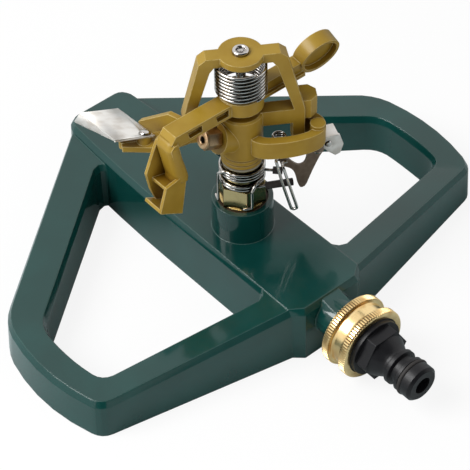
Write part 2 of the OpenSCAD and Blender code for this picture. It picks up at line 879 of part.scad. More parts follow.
// An outline in the plane of the arm, from side offset a0 to a1
module arm_side(a0, a1) {
    upright(arm_turn, a0, a1)
        children();
}

module front_arm() {
    arm_side(-arm_w / 2, arm_w / 2)
        polygon([[hub_r - 2, hub_z], [spoon_reach - 6.6, hub_z], [spoon_reach - 2.4, hub_z + 0.4],
            [spoon_reach - 0.6, hub_z + 2.6], [spoon_reach - 3, hub_z + 6],
            [hub_r - 2, hub_z + 6]]);
}

// Two pockets along one side of the front arm, with a rib left between them
module arm_pockets(a0, a1) {
    arm_side(a0, a1) {
        polygon([[hub_r + 0.6, hub_z + 1.3], [hub_r + 6.4, hub_z + 1.3],
            [hub_r + 7.2, hub_z + 4.7], [hub_r + 0.6, hub_z + 4.7]]);
        polygon([[hub_r + 14.2, hub_z + 1.3], [spoon_reach - 10, hub_z + 1.3],
            [spoon_reach - 9, hub_z + 4.7], [hub_r + 14.6, hub_z + 4.7]]);
    }
}

// Spoon: a slanted panel over a window, between two cheeks, with a lip below
module spoon() {
    shift = [spoon_reach - 40, hub_z - 36];
    arm_side(-5.5, -4.1)
        polygon([for (p = [[36.4, 38.5], [40, 36.5], [42.3, 31.5], [46.4, 21.5], [44.6, 12],
            [41.4, 3.2], [36.2, 0.4], [35.2, 15.5]]) p + shift]);
    arm_side(-4.7, 4.6)
        polygon([for (p = [[38.4, 38], [40, 36.5], [36.5, 20.5], [35.6, 16.5], [43.5, 18.5],
            [43.5, 16.9], [34, 14.4], [34, 16.5]]) p + shift]);
    arm_side(3.6, 5)
        polygon([for (p = [[36.6, 38.5], [38.6, 38.5], [40.3, 36.5], [36.8, 19.8], [43.5, 18.5],
            [47, 6.5], [36, 0], [33, 19.5]]) p + shift]);
    arm_side(-5.5, 5)
        polygon([for (p = [[36, 0], [47, 6.5], [46.4, 7.9], [35.8, 1.7]])
            p + shift]);
}

// Rear arm and its round counterweight, dished on one face
module rear_arm() {
    arm_side(-3, 3)
        polygon([[2 - hub_r, hub_z], [weight_r - weight_reach - 1, hub_z],
            [weight_r - weight_reach - 1, hub_z + 6.2], [2 - hub_r, hub_z + 6.2]]);
    arm_side(-3, 4.6)
        polygon([[2 - hub_r, hub_z], [weight_r - weight_reach - 1, hub_z],
            [weight_r - weight_reach - 1, hub_z + 1.6], [2 - hub_r, hub_z + 1.6]]);
}

module at_weight() {
    rotate([0, 0, arm_turn])
        translate([-weight_reach, 0, hub_z + weight_rise])
            rotate([-weight_tilt - 90, 0, -weight_turn])
                children();
}

module hammer_arm() {
    at_riser()
        color("darkkhaki")
            difference() {
                union() {
                    translate([0, 0, hub_z])
                        cylinder(r = hub_r, h = hub_h, $fn = 96);
                    difference() {
                        front_arm();
                        arm_pockets(arm_w / 2 - 2.2, arm_w / 2 + 1);
                        arm_pockets(-arm_w / 2 - 1, 2.2 - arm_w / 2);
                    }
                    spoon();
                    rear_arm();
                    at_weight()
                        translate([0, 0, weight_front - weight_t])
                            cylinder(r = weight_r, h = weight_t, $fn = 96);
                }
                translate([0, 0, hub_z - 1])
                    cylinder(r = bush_r + screw_gap, h = hub_h + 2, $fn = 64);
                at_weight()
                    translate([0, 0, weight_front - weight_dish])
                        cylinder(r = weight_r - weight_rim, h = weight_dish + 1, $fn = 96);
            }
}

// Deflector

module deflector_plate() {
    at_riser()
        color("lightgray")
            at_flap()
                difference() {
                    union() {
                        translate([0, 0, -flap_t])
                            cube([flap_len, flap_w, flap_t]);
                        translate([0, flap_w - 0.4, 0])
                            rotate([-flap_fold, 0, 0])
                                translate([0, 0, -flap_t])
                                    linear_extrude(flap_t)
                                        polygon([[1, 0], [flap_len, 0], [flap_len, flap_lip],
                                            [1, 0.8]]);
                    }
                    translate([flap_inset, flap_inset, -flap_t - 1])
                        cylinder(r = flap_pin_r + turn_gap, h = flap_t + 2, $fn = 48);
                }
}

module deflector_pin() {
    at_riser()
        color("silver")
            at_flap()
                translate([flap_inset, flap_inset, 0])
                    rotate_extrude($fn = 48)
                        polygon([[0, -flap_t - 3.6], [flap_pin_r, -flap_t - 3.6],
                            [flap_pin_r, face_gap], [2.6, face_gap], [2.2, 0.9], [1.2, 1.3],
                            [0, 1.3]]);
}

// Trip gear

// Frame at the trip lever's pin, its first axis along the trip plate
module at_trip() {
    translate(polar(trip_reach, trip_turn, 0))
        rotate([0, 0, trip_lean])
            children();
}

// An outline of the trip plate's plane, measured down from the loop
module trip_side(y0, y1) {
    translate([0, 0, loop_z])
        upright(0, y0, y1)
            children();
}

module trip_pin() {
    at_riser()
        color("silver")
            at_trip()
                rotate_extrude($fn = 48)
                    polygon([[0, trip_pin_z], [trip_pin_r - 0.3, trip_pin_z],
                        [trip_pin_r, trip_pin_z + 0.3], [trip_pin_r, trip_pin_top],
                        [0, trip_pin_top]]);
}

module trip_clip_ring() {
    at_riser()
        color("dimgray")
            at_trip()
                translate([0, 0, clip_z])
                    ring(trip_pin_r + 0.5, trip_pin_r + screw_gap, clip_t);
}

module trip_spring() {
    coil = 2.6;
    z0 = wire_d / 2;
    z1 = z0 + 3.4;
    at_riser()
        color("silver")
            rotate([0, 0, trip_turn])
                translate([trip_reach / 2 - 0.2, -2.4, loop_z + 1.6])
                    wire(concat([[-7.6, -2.3, z0], [-3, -coil, z0]],
                        helix(coil, -90, 990, z0, z1, 45), [[3, -coil, z1], [6.4, -2.3, z1]]),
                        trip_wire_d);
}

module trip_plate() {
    at_riser()
        color("saddlebrown")
            at_trip()
                difference() {
                    union() {
                        translate([0, 0, knuckle_z])
                            cylinder(r = knuckle_r, h = knuckle_h, $fn = 48);
                        trip_side(sheet_y - sheet_t / 2, sheet_y + sheet_t / 2)
                            polygon(soften([[-15.6, -10.4], [-14.8, -7.8], [-12.4, -8],
                                [-9, -12.3], [-6.8, -14], [-4.5, -13.3], [-3.5, -9.8], [-3.4, -1.4],
                                [5.4, -1.4], [7.4, -2.4], [7, -5.6], [3, -8.9], [-0.6, -17],
                                [-2.4, -21.8], [-4, -26.4], [-6.2, -27.2], [-7.4, -24.9],
                                [-8.1, -20.9], [-9.2, -16.9], [-10.8, -14.3], [-13.8, -12.4]]));
                    }
                    translate([0, 0, knuckle_z - 1])
                        cylinder(r = trip_pin_r + turn_gap, h = knuckle_h + 2, $fn = 48);
                    trip_side(sheet_y - sheet_t, sheet_y + sheet_t)
                        translate(rivet_at)
                            circle(r = rivet_r + screw_gap, $fn = 32);
                }
}

// Bent sheet carried on the outer end of the trip plate
module trip_shoe() {
    wall_y = sheet_y - sheet_t / 2 - face_gap;
    at_riser()
        color("silver")
            at_trip()
                difference() {
                    union() {
                        trip_side(wall_y - shoe_t, wall_y)
                            polygon([[3, shoe_top], [10.2, shoe_top], [12, -6.4], [10.7, -11],
                                [8.5, -11.8], [5.3, -8.9], [3, -6]]);
                        trip_side(wall_y - 0.1, wall_y + 6.4)
                            polygon([[3.4, shoe_top - shoe_t], [9.8, shoe_top - shoe_t],
                                [9.8, shoe_top], [3.4, shoe_top]]);
                    }
                    trip_side(wall_y - 2, wall_y + 0.5)
                        translate(rivet_at)
                            circle(r = rivet_r + screw_gap, $fn = 32);
                }
}

module shoe_rivet() {
    front = sheet_y - sheet_t / 2 - 2 * face_gap - shoe_t;
    back = sheet_y + sheet_t / 2 + face_gap;
    at_riser()
        color("silver")
            at_trip()
                translate([rivet_at.x, 0, loop_z + rivet_at.y])
                    rotate([-90, 0, 0])
                        rotate_extrude($fn = 32)
                            polygon([[0, front - 0.7], [rivet_r + 0.3, front - 0.6],
                                [rivet_r + 0.7, front], [rivet_r, front], [rivet_r, back],
                                [rivet_r + 0.7, back], [rivet_r + 0.3, back + 0.6],
                                [0, back + 0.7]]);
}

// A wire hooked round the plate's free end, down to a tight bend and back up
module trip_hairpin() {
    outer_y = sheet_y + sheet_t / 2 + wire_d / 2 + face_gap;
    inner_y = sheet_y - sheet_t / 2 - wire_d / 2 - face_gap;
    top = [-18.6, -0.5, -5.6];
    tip = [-13, -4.3, -30];
    side = [2.4, -0.75, 0];
    at_riser()
        color("silver")
            at_trip()
                translate([0, 0, loop_z])
                    wire([[-13.2, outer_y, -10.2], [-15.6, outer_y + 0.05, -9.8],
                        [-16.5, outer_y - 0.6, -9.2], [-17.1, sheet_y - 0.6, -8.2],
                        [-17.4, 1.1, -6.6], [-17.9, 0.1, -5.6], [-18.2, -0.7, -5.8],
                        [-18, -1.2, -6.9],
                        top * 0.5 + tip * 0.5 + [0, -0.4, -0.6], tip,
                        tip + side * 0.18 + [0, 0, -1], tip + side * 0.5 + [0, 0, -1.4],
                        tip + side * 0.82 + [0, 0, -1], tip + side,
                        top * 0.3 + tip * 0.7 + side, top * 0.8 + tip * 0.2 + side + [0, 0.4, 0],
                        [-15, inner_y - 0.9, -9.4], [-14, inner_y, -9.2],
                        [-12.4, inner_y, -9.6]], wire_d, 8);
}

base_frame();
bearing_nipple();
nipple_washer();
inlet_coupling();
coupling_washer();
swivel_ring();
hose_connector();
connector_o_ring();
collar_upper();
collar_lower();
stop_sleeve_upper();
stop_sleeve_lower();
head_body();
stem_tube();
stem_seal();
thrust_washer();
bearing_spring();
main_nozzle();
fulcrum_pin();
arm_spring();
arm_washer();
hammer_arm();
arm_bush();
deflector_plate();
deflector_pin();
trip_pin();
trip_clip_ring();
trip_spring();
trip_plate();
trip_shoe();
shoe_rivet();
trip_hairpin();
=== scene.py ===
"""Impulse sprinkler on a wide green cast base, seen from above its front corner.

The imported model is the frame. Castings and turned parts are the frame's own meshes with
rounded edges; wires, springs and the knurled coupling are worked out here as surfaces.
Lengths are metres, along the row's axes: Z up the riser, X along the hose inlet.
"""

import json
from math import cos, pi, radians, sin

import bmesh
import bpy
import numpy as np
from mathutils import Matrix, Vector


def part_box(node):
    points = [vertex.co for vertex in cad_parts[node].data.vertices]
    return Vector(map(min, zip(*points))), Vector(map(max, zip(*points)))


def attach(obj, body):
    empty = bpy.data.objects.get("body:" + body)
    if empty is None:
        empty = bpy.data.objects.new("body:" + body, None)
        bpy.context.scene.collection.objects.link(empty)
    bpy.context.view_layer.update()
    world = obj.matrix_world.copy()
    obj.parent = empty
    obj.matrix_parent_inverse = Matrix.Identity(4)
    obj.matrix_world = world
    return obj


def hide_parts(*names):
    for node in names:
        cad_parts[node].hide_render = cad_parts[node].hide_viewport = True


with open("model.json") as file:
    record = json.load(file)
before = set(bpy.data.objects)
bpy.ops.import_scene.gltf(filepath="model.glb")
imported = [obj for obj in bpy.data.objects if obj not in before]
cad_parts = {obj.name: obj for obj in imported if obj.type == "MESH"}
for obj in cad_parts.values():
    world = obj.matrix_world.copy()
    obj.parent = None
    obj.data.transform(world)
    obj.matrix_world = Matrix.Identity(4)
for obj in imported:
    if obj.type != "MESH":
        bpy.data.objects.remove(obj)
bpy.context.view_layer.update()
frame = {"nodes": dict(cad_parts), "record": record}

MM = 0.001
DOUBLES = 2e-6  # corners of loose triangles nearer than this are one


def middle(node):
    """Middle of a CAD node's box, as a numpy point."""
    low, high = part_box(node)
    return (np.array(low) + np.array(high)) / 2


# Places on the CAD model that the new pieces and the finishes follow
RISER_X = middle("bearing_nipple")[0]
INLET_Z = middle("inlet_coupling")[2]
COUPLING_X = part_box("inlet_coupling")[0][0]
PIN_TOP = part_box("fulcrum_pin")[1][2]
PIN_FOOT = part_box("fulcrum_pin")[0][2]
SPRING_FOOT, SPRING_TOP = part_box("arm_spring")[0][2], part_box("arm_spring")[1][2]
BARREL_RINGS = [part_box("thrust_washer")[1][2] + up * MM for up in (2.3, 4.7)]
HUB_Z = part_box("arm_washer")[1][2]
LOOP_Z = 75.1 * MM  # foot of the trip loop

# The jet: its heading, its rise, where its axis leaves the riser's, and its bore
JET_TURN, JET_RISE = radians(-97), radians(20)
JET_ROOT = (float(RISER_X), 0.0, 79.1 * MM)
JET_BORE = 1.5 * MM
JET_WAY = (cos(JET_TURN) * cos(JET_RISE), sin(JET_TURN) * cos(JET_RISE), sin(JET_RISE))

# Diameters of the wires, the spoon's heading in degrees, and the level of the hammer arm's
# drawing below its hub, in millimetres
WIRE = 1.3 * MM
FINE_WIRE = 0.9 * MM
ARM_TURN = -91
ARM_DATUM = 36

# Camera and lamps

VIEW_AZIMUTH = radians(49.65)
VIEW_ELEVATION = radians(45.59)
VIEW_ROLL = radians(-0.99)
VIEW_DISTANCE = 0.9239
FOCAL_PIXELS = 2148.7
IMAGE_PIXELS = 470
LOOK_AT = Vector((RISER_X - 0.0023, -0.00255, 0.020))
SENSOR_WIDTH = 36.0


def set_camera():
    """Puts the camera on its line of sight from LOOK_AT, rolled, at its focal length."""
    back = Vector((
        sin(VIEW_AZIMUTH) * cos(VIEW_ELEVATION),
        -cos(VIEW_AZIMUTH) * cos(VIEW_ELEVATION),
        sin(VIEW_ELEVATION),
    ))
    level = (-back).cross(Vector((0, 0, 1))).normalized()
    upward = level.cross(-back)
    right = cos(VIEW_ROLL) * level + sin(VIEW_ROLL) * upward
    up = -sin(VIEW_ROLL) * level + cos(VIEW_ROLL) * upward
    data = bpy.data.cameras.new("photo_camera")
    data.sensor_width = SENSOR_WIDTH
    data.lens = SENSOR_WIDTH * FOCAL_PIXELS / IMAGE_PIXELS
    data.clip_start = 0.05
    camera = bpy.data.objects.new("photo_camera", data)
    bpy.context.scene.collection.objects.link(camera)
    turn = Matrix((right, up, back)).transposed().to_4x4()
    camera.matrix_world = Matrix.Translation(LOOK_AT + VIEW_DISTANCE * back) @ turn
    bpy.context.scene.camera = camera


def soft_box(name, azimuth, elevation, distance, width, watts, glossy=True):
    """A square area lamp on a sphere round the object, turned to face it."""
    a, e = radians(azimuth), radians(elevation)
    data = bpy.data.lights.new(name, "AREA")
    data.shape = "SQUARE"
    data.size = width
    data.energy = watts
    lamp = bpy.data.objects.new(name, data)
    lamp.location = distance * Vector((sin(a) * cos(e), -cos(a) * cos(e), sin(e)))
    lamp.rotation_euler = lamp.location.to_track_quat("Z", "Y").to_euler()
    lamp.visible_glossy = glossy
    bpy.context.scene.collection.objects.link(lamp)


class Signal:
    """An output in a node tree, so that a sum written in Python adds its Math nodes."""

    def __init__(self, tree, socket):
        self.tree, self.socket = tree, socket

    def _math(self, operation, *values):
        return self.tree.node("Math", {"operation": operation}, *values)

    def __add__(self, other):
        return self._math("ADD", self, other)

    def __radd__(self, other):
        return self._math("ADD", other, self)

    def __sub__(self, other):
        return self._math("SUBTRACT", self, other)

    def __rsub__(self, other):
        return self._math("SUBTRACT", other, self)

    def __mul__(self, other):
        return self._math("MULTIPLY", self, other)

    def __rmul__(self, other):
        return self._math("MULTIPLY", other, self)

    def __pow__(self, other):
        return self._math("POWER", self, other)

    def __abs__(self):
        return self._math("ABSOLUTE", self)

    def above(self, low, high):
        """A smooth step from 0 at low to 1 at high."""
        return self.tree.node(
            "MapRange", {"interpolation_type": "SMOOTHSTEP"}, self, low, high, 0.0, 1.0)


class Tree:
    """The node tree of a material or world, and the one way that this file adds nodes to it."""

    def __init__(self, owner):
        owner.use_nodes = True
        self.nodes, self.links = owner.node_tree.nodes, owner.node_tree.links

    def node(self, kind, settings, *values, output=0, **named):
        """Adds a node, sets its settings, then its sockets in order or by name, and gives the
        output of that number, or all of them for None."""
        made = self.nodes.new("ShaderNode" + kind)
        for key, value in settings.items():
            setattr(made, key, value)
        for socket, value in zip([s for s in made.inputs if s.enabled], values):
            self.feed(socket, value)
        for key, value in named.items():
            self.feed(made.inputs[key.replace("_", " ")], value)
        outputs = [Signal(self, s) for s in made.outputs if s.enabled]
        return outputs if output is None else outputs[output]

    def feed(self, socket, value):
        """Links the socket to a signal, or sets it to a value."""
        if isinstance(value, Signal):
            self.links.new(value.socket, socket)
        else:
            socket.default_value = value

    def light_path(self):
        """1 for rays from the camera, and 1 for rays from a glossy surface."""
        path = self.node("LightPath", {}, output=None)
        return path[0], path[3]


class Finish(Tree):
    """One material, and what its looks are made of."""

    def __init__(self, name):
        self.material = bpy.data.materials.new(name)
        super().__init__(self.material)
        self.shader = self.nodes["Principled BSDF"]

    def place(self):
        """Object coordinates, in metres."""
        return self.node("TexCoord", {}, output=3)

    def noise(self, size, detail=2.0, stretch=(1, 1, 1)):
        """Noise with features of about that size in metres, from 0 to 1."""
        spread = self.node("VectorMath", {"operation": "MULTIPLY"}, self.place(), stretch)
        return self.node("TexNoise", {}, Vector=spread, Scale=1 / size, Detail=detail)

    def mix(self, factor, first, second):
        """One colour at factor 0, the other at 1."""
        return self.node("Mix", {"data_type": "RGBA"}, factor, first, second)

    def softened(self, radius):
        """The surface's normal, averaged over that radius, so that cast edges catch light."""
        return self.node("Bevel", {"samples": 6}, Radius=radius)

    def bump(self, height, depth, **over):
        """A normal raised by height, which runs from 0 to 1, times depth in metres."""
        return self.node("Bump", {}, Strength=1.0, Distance=depth, Height=height, **over)

    def edges(self, radius, low, high):
        """1 at edges and corners, 0 on flats: how far the softened normal leans from the
        true one."""
        true = self.node("NewGeometry", {}, output=1)
        along = self.node(
            "VectorMath", {"operation": "DOT_PRODUCT"}, self.softened(radius), true)
        return (1 - along).above(low, high)

    def hollow(self, reach, low, high):
        """A mask for painted shade: 1 deep in gaps and hollows, 0 where the surface sees open air
        over that reach.
        """
        air = self.node("AmbientOcclusion", {"samples": 6}, Distance=reach, output=1)
        return 1 - air.above(low, high)

    def surface(self, **sockets):
        """Sets the shader's sockets by name and gives the material."""
        for key, value in sockets.items():
            self.feed(self.shader.inputs[key.replace("_", " ")], value)
        return self.material

    def shows(self, shader):
        """Puts another shader than the material's own on its output, and gives the material."""
        self.feed(self.nodes["Material Output"].inputs["Surface"], shader)
        return self.material


def rgb(red, green, blue):
    """A colour as seen on screen, 0 to 255, as the linear colour that a shader takes."""
    level = np.array([red, green, blue]) / 255
    linear = np.where(level <= 0.04045, level / 12.92, ((level + 0.055) / 1.055) ** 2.4)
    return (*map(float, linear), 1.0)


def green_enamel():
    """Thick glossy enamel: a slight orange peel, softer patches, and a painted highlight along
    its edges.
    """
    f = Finish("green_enamel")
    peel = f.noise(1.6 * MM, 1.0)
    patches = f.noise(25 * MM, 3.0)
    # painted highlight: a pale line painted along the casting's edges
    edge_highlight = f.edges(0.7 * MM, 0.04, 0.16)
    colour = f.mix(patches.above(0.35, 0.75), rgb(10, 56, 52), rgb(14, 63, 59))
    colour = f.mix(0.4 * edge_highlight, colour, rgb(104, 134, 128))
    return f.surface(
        Base_Color=colour, Roughness=0.1 + 0.08 * patches, IOR=1.46,
        Coat_Weight=0.25, Coat_Roughness=0.06,
        Normal=f.bump(0.7 * peel + 0.3 * patches, 0.012 * MM, Normal=f.softened(0.9 * MM)),
    )


def olive_enamel():
    """Satin olive-gold enamel over a die casting, darkened with painted shade in its hollows,
    paler on its edges with wear and painted highlight, and dark with painted shade in the two
    rings turned round the barrel."""
    f = Finish("olive_enamel")
    grain = f.noise(0.35 * MM, 2.0)
    cloud = f.noise(9 * MM, 2.0)
    # paler edges: wear, and a painted highlight along them
    edge_wear_and_highlight = f.edges(0.5 * MM, 0.015, 0.1) * (0.3 + 0.7 * f.noise(2 * MM, 2.0).above(0.25, 0.55))
    colour = f.mix(cloud.above(0.3, 0.7), rgb(148, 118, 36), rgb(157, 128, 46))
    # painted shade: darker brown deep in hollows and gaps
    colour = f.mix(f.hollow(9 * MM, 0.25, 0.85), colour, rgb(112, 80, 14))
    colour = f.mix(0.75 * edge_wear_and_highlight, colour, rgb(220, 202, 146))
    x, y, z = f.node("SeparateXYZ", {}, f.place(), output=None)
    off_axis = x - RISER_X
    near = 1 - ((off_axis * off_axis + y * y) ** 0.5).above(9.5 * MM, 10 * MM)
    # painted shade in the two turned rings, which the bump also sinks
    ring = near * sum(1 - abs(z - level).above(0.12 * MM, 0.4 * MM) for level in BARREL_RINGS)
    colour = f.mix(0.6 * ring, colour, rgb(84, 60, 12))
    return f.surface(
        Base_Color=colour, Roughness=0.3 + 0.06 * cloud + 0.05 * grain, IOR=1.38,
        Normal=f.bump(
            0.5 * ring, 0.2 * MM,
            Normal=f.bump(grain, 0.006 * MM, Normal=f.softened(0.55 * MM))),
    )


def polished_brass(name, bright, tarnished, stretch):
    """Turned and polished brass, with faint tool lines and warm tarnish in patches."""
    f = Finish(name)
    lines = f.noise(0.35 * MM, 2.0, stretch=stretch)
    tarnish = f.noise(5 * MM, 3.0).above(0.5, 0.8)
    colour = f.mix(0.5 * tarnish, bright, tarnished)
    return f.surface(
        Base_Color=colour, Metallic=1.0, Roughness=0.16 + 0.12 * lines + 0.08 * tarnish,
        Normal=f.bump(lines, 0.004 * MM, Normal=f.softened(0.3 * MM)),
    )


def coupling_brass():
    """Pale polished brass, turned about the inlet, dark with painted shade down in the grooves
    of its knurl.
    """
    f = Finish("coupling_brass")
    lines = f.noise(0.3 * MM, 2.0, stretch=(3, 0.15, 0.15))
    warm = f.noise(6 * MM, 2.0).above(0.45, 0.75)
    # painted shade: dark brown down in the knurl's grooves, which are also less metallic and
    # rougher
    groove = f.node("Attribute", {"attribute_name": "groove"}, output=2)
    colour = f.mix(0.7 * warm, rgb(245, 216, 158), rgb(214, 166, 98))
    return f.surface(
        Base_Color=f.mix(0.9 * groove, colour, rgb(60, 40, 16)),
        Metallic=1.0 - 0.6 * groove, Roughness=0.15 + 0.14 * lines + 0.3 * groove,
        Normal=f.bump(lines, 0.004 * MM),
    )


def nozzle_brass():
    """Pinkish machined brass, softly clouded, and black with painted shade down the bore of the
    jet: as far from the jet's axis as the length of (place - root) x way, the cross product."""
    f = Finish("nozzle_brass")
    lines = f.noise(0.4 * MM, 2.0)
    out = f.node("VectorMath", {"operation": "SUBTRACT"}, f.place(), JET_ROOT)
    across = f.node("VectorMath", {"operation": "CROSS_PRODUCT"}, out, JET_WAY)
    off_axis = f.node("VectorMath", {"operation": "LENGTH"}, across)
    # painted shade: black, not metal, inside the jet's bore
    bore = 1 - off_axis.above(JET_BORE - 0.05 * MM, JET_BORE + 0.1 * MM)
    colour = f.mix(lines.above(0.3, 0.7), rgb(226, 192, 152), rgb(204, 168, 128))
    return f.surface(
        Base_Color=f.mix(bore, colour, rgb(14, 11, 8)), Metallic=1.0 - bore,
        Roughness=0.3 + 0.1 * lines, Normal=f.bump(lines, 0.004 * MM),
    )


def spring_steel():
    """Bright drawn steel wire with fine lines along it and a few dull patches, darkened with
    painted shade where turns lie close."""
    f = Finish("spring_steel")
    dull = f.noise(3 * MM, 3.0).above(0.5, 0.75)
    lines = f.noise(0.25 * MM, 2.0)
    colour = f.mix(dull, rgb(204, 200, 196), rgb(138, 130, 122))
    return f.surface(
        # painted shade: dark brown where the turns lie close
        Base_Color=f.mix(f.hollow(2.5 * MM, 0.4, 0.9), colour, rgb(34, 29, 23)), Metallic=1.0,
        Roughness=0.12 + 0.1 * dull + 0.04 * lines, Normal=f.bump(lines, 0.002 * MM),
    )


def sheet_steel():
    """Pale zinc-coated sheet, rolled one way, with soft clouded patches."""
    f = Finish("sheet_steel")
    rolled = f.noise(0.8 * MM, 3.0, stretch=(0.2, 2, 1))
    cloud = f.noise(6 * MM, 3.0)
    return f.surface(
        Base_Color=f.mix(cloud.above(0.35, 0.75), rgb(236, 234, 230), rgb(214, 208, 200)),
        Metallic=0.7, Roughness=0.34 + 0.1 * cloud + 0.08 * rolled,
        Normal=f.bump(rolled, 0.006 * MM),
    )


def bronzed_steel():
    """Brown bronzed pressing, pale along its edges with wear and painted highlight."""
    f = Finish("bronzed_steel")
    cloud = f.noise(2.5 * MM, 3.0)
    # pale edges: wear, and a painted highlight along them
    edge_wear_and_highlight = f.edges(0.3 * MM, 0.03, 0.15)
    colour = f.mix(cloud.above(0.3, 0.7), rgb(106, 91, 78), rgb(122, 107, 92))
    return f.surface(
        Base_Color=f.mix(0.7 * edge_wear_and_highlight, colour, rgb(186, 174, 158)), Metallic=0.4,
        Roughness=0.42 + 0.12 * cloud,
        Normal=f.bump(cloud, 0.008 * MM, Normal=f.softened(0.25 * MM)),
    )


def black_plastic():
    """Moulded black plastic with a soft shine and a faint flow texture."""
    f = Finish("black_plastic")
    flow = f.noise(1.2 * MM, 3.0, stretch=(0.4, 1, 1))
    return f.surface(
        Base_Color=f.mix(flow, rgb(16, 16, 18), rgb(24, 24, 27)), Roughness=0.33 + 0.1 * flow,
        IOR=1.36, Normal=f.bump(flow, 0.01 * MM, Normal=f.softened(0.35 * MM)),
    )


def soft_black(name, colour):
    """Matt rubber or sleeve stock, a little mottled."""
    f = Finish(name)
    mottle = f.noise(0.8 * MM, 3.0)
    return f.surface(
        Base_Color=f.mix(mottle, colour, rgb(48, 44, 42)), Roughness=0.6 + 0.15 * mottle,
        Normal=f.bump(mottle, 0.02 * MM),
    )


def washer_stock(name, colour, shade):
    """Pressed washer stock with a fibrous mottle, darkened with painted shade where it is
    pinched.
    """
    f = Finish(name)
    fibre = f.noise(0.6 * MM, 4.0, stretch=(1, 1, 4))
    # painted shade: dark brown where the washer is pinched
    pinched_shade = f.hollow(3 * MM, 0.4, 0.9)
    return f.surface(
        Base_Color=f.mix(0.8 * pinched_shade, f.mix(fibre, colour, shade), rgb(44, 38, 30)),
        Roughness=0.55 + 0.2 * fibre,
        Normal=f.bump(fibre, 0.02 * MM),
    )


FINISHES = {
    "green_enamel": green_enamel(),
    "olive_enamel": olive_enamel(),
    "brass": polished_brass(
        "polished_brass", rgb(214, 194, 142), rgb(150, 122, 76), (0.15, 0.15, 3)),
    "coupling_brass": coupling_brass(),
    "nozzle_brass": nozzle_brass(),
    "spring_steel": spring_steel(),
    "sheet_steel": sheet_steel(),
    "bronzed_steel": bronzed_steel(),
    "black_plastic": black_plastic(),
    "dark_sleeve": soft_black("dark_sleeve", rgb(34, 30, 30)),
    "rubber": soft_black("rubber", rgb(22, 22, 22)),
    "red_fibre": washer_stock("red_fibre", rgb(92, 62, 50), rgb(66, 44, 36)),
    "white_nylon": washer_stock("white_nylon", rgb(150, 144, 128), rgb(124, 118, 104)),
}
SLOT_OF = {part["node"]: part["material_slot"] for part in frame["record"]["subparts"]}
BODY_OF = {
    node: body
    for body, nodes in frame["record"]["behaviour"]["bodies"].items()
    for node in nodes
}


def paint(thing, slot):
    """Gives an object the finish of a record slot, on every material slot that it has."""
    materials = thing.data.materials
    if not materials:
        materials.append(None)
    for i in range(len(materials)):
        materials[i] = FINISHES[slot]


def new_object(name, mesh):
    """An object for the mesh, at the origin of the scene."""
    thing = bpy.data.objects.new(name, mesh)
    bpy.context.scene.collection.objects.link(thing)
    return thing


def stand_for(thing, node, finish=None):
    """The piece takes the node's place, body and finish."""
    paint(thing, finish or SLOT_OF[node])
    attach(thing, BODY_OF[node])
    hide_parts(node)


def ride_along(thing, slot, body):
    """A piece that no node has: its finish, and the body that it moves with."""
    paint(thing, slot)
    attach(thing, body)


def crease(work, angle):
    """Sharpens the edges that are open or turn by that many degrees or more."""
    for edge in work.edges:
        edge.smooth = len(edge.link_faces) == 2 and edge.calc_face_angle(0) < radians(angle)


def own_mesh(node, name, mend):
    """An object with the node's own mesh, smooth, its doubles merged and then mended."""
    mesh = frame["nodes"][node].data.copy()
    mesh.name = name
    work = bmesh.new()
    work.from_mesh(mesh)
    bmesh.ops.remove_doubles(work, verts=work.verts, dist=DOUBLES)
    mend(work)
    for face in work.faces:
        face.smooth = True
    work.to_mesh(mesh)
    work.free()
    return new_object(name, mesh)


def merged(node, name, angle=32):
    """The node's own mesh: smooth over its curves, creased at its edges, with large flats kept
    flat by weighing each corner's normal by area."""
    thing = own_mesh(node, name, lambda work: crease(work, angle))
    weigh = thing.modifiers.new("flat_faces_flat", "WEIGHTED_NORMAL")
    weigh.keep_sharp = True
    weigh.weight = 60
    stand_for(thing, node)


def rounded(node, name, width, segments):
    """The node's own mesh with its triangles merged into flats and its edges bevelled."""
    thing = own_mesh(node, name, lambda work: bmesh.ops.dissolve_limit(
        work, angle_limit=radians(0.6), verts=work.verts, edges=work.edges))
    bevel = thing.modifiers.new("rounded_edges", "BEVEL")
    bevel.width = width
    bevel.segments = segments
    bevel.limit_method = "ANGLE"
    bevel.angle_limit = radians(22)
    bevel.harden_normals = True
    bevel.miter_outer = "MITER_ARC"
    stand_for(thing, node)


def grid_mesh(name, points, closed_u=False, closed_v=False, caps=False):
    """A mesh over a grid of points, rows by columns, smooth, with its ends closed if asked.
    Columns run round the section, so that faces point outwards for a right-handed sweep."""
    rows, columns = points.shape[:2]
    i, k = np.meshgrid(
        np.arange(rows if closed_u else rows - 1),
        np.arange(columns if closed_v else columns - 1), indexing="ij")
    this, following, k2 = i * columns, (i + 1) % rows * columns, (k + 1) % columns
    quads = np.stack([this + k, this + k2, following + k2, following + k], -1)
    faces = quads.reshape(-1, 4).tolist()
    if caps:
        faces.append(list(range(columns))[::-1])
        faces.append([(rows - 1) * columns + c for c in range(columns)])
    mesh = bpy.data.meshes.new(name)
    mesh.from_pydata(points.reshape(-1, 3).tolist(), [], faces)
    mesh.polygons.foreach_set("use_smooth", np.ones(len(faces), bool))
    mesh.update()
    return mesh


def smooth_path(corners, count):
    """A curve through the corners: a Catmull-Rom cubic between each pair, evenly respaced."""
    p = np.array(corners, float)
    p = np.vstack([2 * p[0] - p[1], p, 2 * p[-1] - p[-2]])
    t = np.linspace(0, 1, 24, endpoint=False)[:, None, None]
    a, b, c, d = p[:-3], p[1:-2], p[2:-1], p[3:]
    curve = 0.5 * (2 * b + (c - a) * t + (2 * a - 5 * b + 4 * c - d) * t**2
                   + (3 * b - a - 3 * c + d) * t**3)
    curve = np.vstack([curve.transpose(1, 0, 2).reshape(-1, 3), p[-2]])
    run = np.r_[0, np.cumsum(np.linalg.norm(np.diff(curve, axis=0), axis=1))]
    where = np.linspace(0, run[-1], count)
    return np.stack([np.interp(where, run, curve[:, i]) for i in range(3)], -1)


